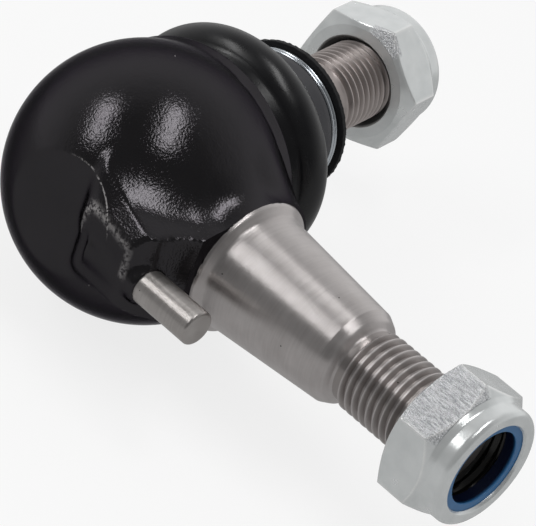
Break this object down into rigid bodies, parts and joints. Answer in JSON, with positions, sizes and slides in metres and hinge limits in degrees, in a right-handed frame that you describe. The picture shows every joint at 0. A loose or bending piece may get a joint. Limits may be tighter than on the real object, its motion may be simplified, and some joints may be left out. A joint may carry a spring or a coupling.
{
  "type": "suspension ball joint",
  "caption": "Suspension ball joint: round forged housing with a taper shank and locating pin, rubber boot, and a swivelling threaded ball stud with lock nuts.",
  "frame": {"origin": "on the shank axis at the large end of its taper, where the collar starts", "axes": "+X along the taper shank towards its thread, +Z square to the plane of the shank and the ball stud, the stud pointing towards +Y"},
  "size_m": [0.1013, 0.0919, 0.0458],
  "materials": {
    "housing_paint": "gloss black paint on a forging, bare turned steel on the shank",
    "ground_steel": "ground bare steel",
    "stud_steel": "turned bare steel with a rolled thread",
    "zinc": "bright zinc plate",
    "nylon": "blue nylon",
    "seat_plastic": "plain bearing plastic",
    "boot_rubber": "satin black rubber",
    "ring_steel": "plain steel",
    "clamp_wire": "bright spring wire"
  },
  "bodies": {
    "housing": {"housing": "housing_paint", "locating_pin": "ground_steel", "shank_nut": "zinc", "shank_nut_insert": "nylon", "ball_seat": "seat_plastic", "closing_ring": "ring_steel", "boot_ring_lower": "ring_steel"},
    "boot": {"boot": "boot_rubber"},
    "clamp": {"boot_clamp_upper": "clamp_wire"},
    "stud": {"ball_stud": "stud_steel", "stud_nut": "zinc", "stud_nut_insert": "nylon"}
  },
  "joints": [
    {"name": "boot_swivel", "type": "hinge", "parent": "housing", "child": "boot", "pos_m": [-0.0251, 0, 0], "axis": [-0.1392, 0.9903, 0], "continuous": true},
    {"name": "stud_tilt", "type": "hinge", "parent": "boot", "child": "clamp", "pos_m": [-0.0251, 0, 0], "axis": [0, 0, 1], "range_deg": [-22, 22], "deforming": ["boot"]},
    {"name": "stud_spin", "type": "hinge", "parent": "clamp", "child": "stud", "pos_m": [-0.0251, 0, 0], "axis": [-0.1392, 0.9903, 0], "continuous": true}
  ]
}
